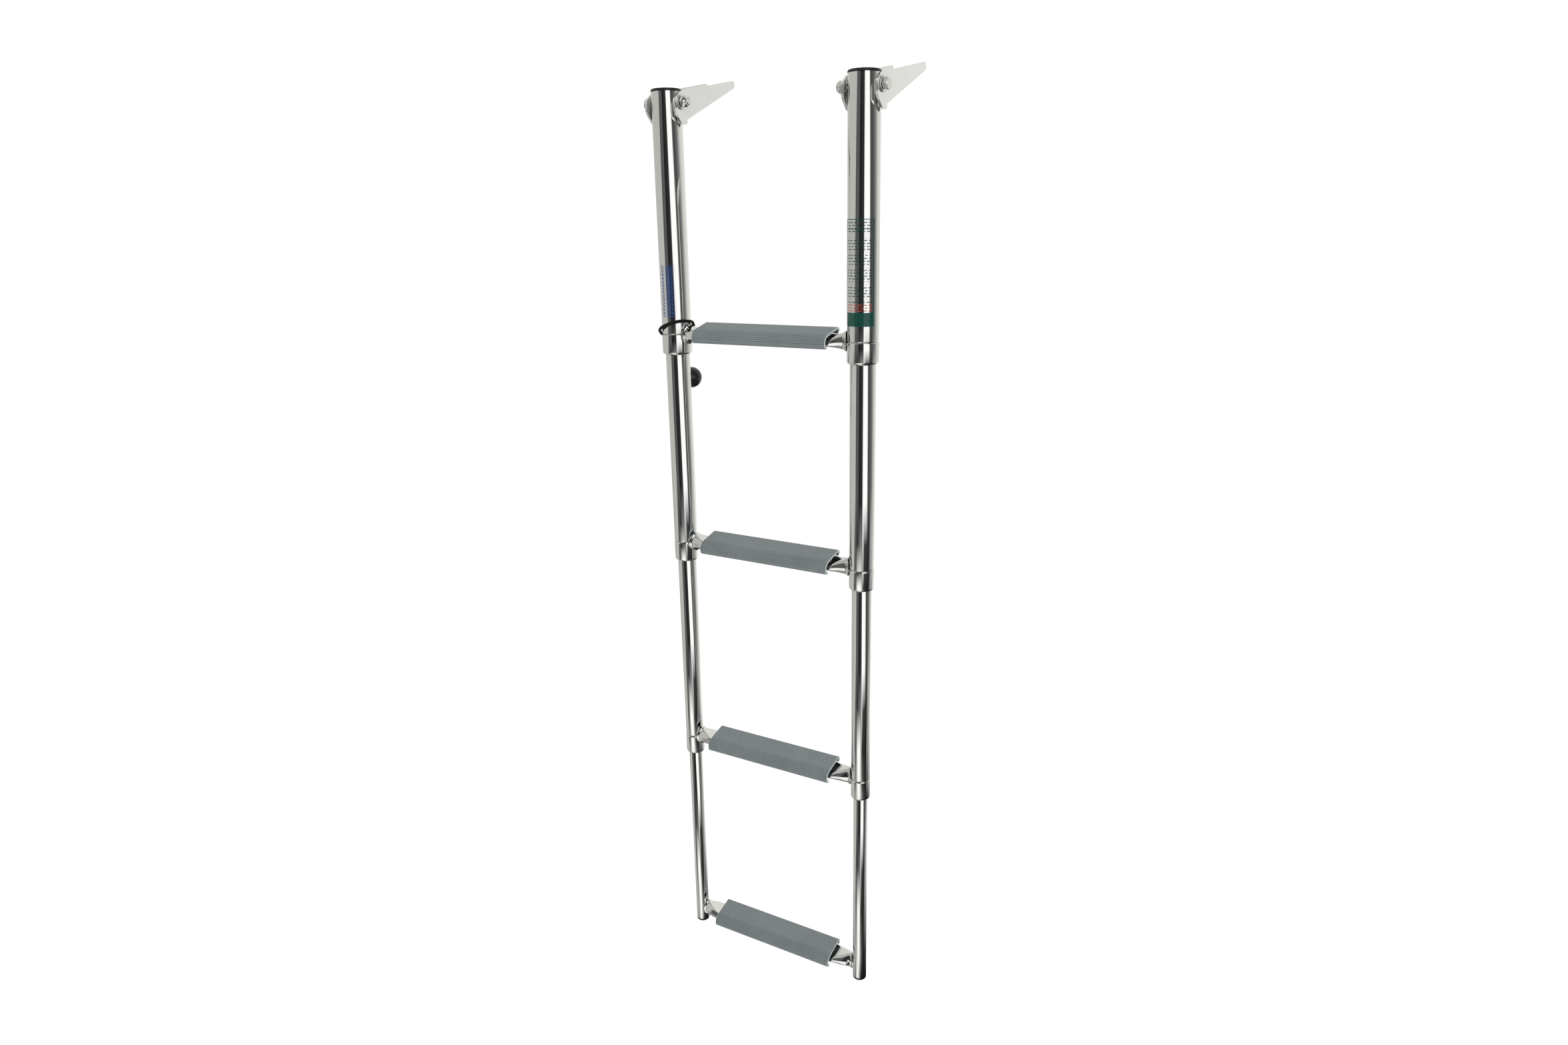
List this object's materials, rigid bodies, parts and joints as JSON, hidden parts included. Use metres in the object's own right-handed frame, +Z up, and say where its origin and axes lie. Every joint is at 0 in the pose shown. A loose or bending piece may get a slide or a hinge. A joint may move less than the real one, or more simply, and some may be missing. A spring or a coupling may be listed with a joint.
{
  "type": "boat boarding ladder",
  "caption": "Telescoping drop ladder for a boat platform: polished tube rails, flattened rungs with grey plastic treads and pivoting deck brackets.",
  "frame": {"origin": "midway between the two pivot bolts, on their common axis", "axes": "+Z up along the rails, +X across the ladder towards the climber's right, +Y towards the boat"},
  "size_m": [0.3324, 0.1474, 1.2253],
  "materials": {
    "stainless": "mirror polished stainless steel",
    "tread_plastic": "fine-grained grey plastic",
    "black_plastic": "satin black",
    "tie_ball": "gloss black",
    "tie_elastic": "woven black sleeve",
    "nylon": "natural nylon",
    "clear_film": "clear film"
  },
  "bodies": {
    "brackets": {"bracket_left": "stainless", "bracket_right": "stainless", "lock_nut_left": "stainless", "lock_nut_right": "stainless", "pivot_bolt_left": "stainless", "pivot_bolt_right": "stainless", "washer_head_left": "stainless", "washer_head_right": "stainless", "washer_nut_left": "stainless", "washer_nut_right": "stainless"},
    "section_1": {"collar_1_left": "stainless", "collar_1_right": "stainless", "label_left": "clear_film", "label_right": "clear_film", "rail_1_left": "stainless", "rail_1_right": "stainless", "rung_1": "stainless", "tie_ball": "tie_ball", "tie_cord": "tie_elastic", "top_cap_left": "black_plastic", "top_cap_right": "black_plastic", "tread_1": "tread_plastic"},
    "section_2": {"collar_2_left": "stainless", "collar_2_right": "stainless", "guide_ring_2_left": "nylon", "guide_ring_2_right": "nylon", "rail_2_left": "stainless", "rail_2_right": "stainless", "rung_2": "stainless", "tread_2": "tread_plastic"},
    "section_3": {"collar_3_left": "stainless", "collar_3_right": "stainless", "guide_ring_3_left": "nylon", "guide_ring_3_right": "nylon", "rail_3_left": "stainless", "rail_3_right": "stainless", "rung_3": "stainless", "tread_3": "tread_plastic"},
    "section_4": {"foot_plug_left": "black_plastic", "foot_plug_right": "black_plastic", "guide_ring_4_left": "nylon", "guide_ring_4_right": "nylon", "rail_4_left": "stainless", "rail_4_right": "stainless", "rung_4": "stainless", "tread_4": "tread_plastic"}
  },
  "joints": [
    {"name": "ladder_fold", "type": "hinge", "parent": "brackets", "child": "section_1", "pos_m": [0, 0, 0], "axis": [-1, 0, 0], "range_deg": [0, 245]},
    {"name": "section_2_slide", "type": "slide", "parent": "section_1", "child": "section_2", "axis": [0, 0, 1], "range_m": [0, 0.243]},
    {"name": "section_3_slide", "type": "slide", "parent": "section_2", "child": "section_3", "axis": [0, 0, 1], "range_m": [0, 0.256]},
    {"name": "section_4_slide", "type": "slide", "parent": "section_3", "child": "section_4", "axis": [0, 0, 1], "range_m": [0, 0.254]}
  ]
}
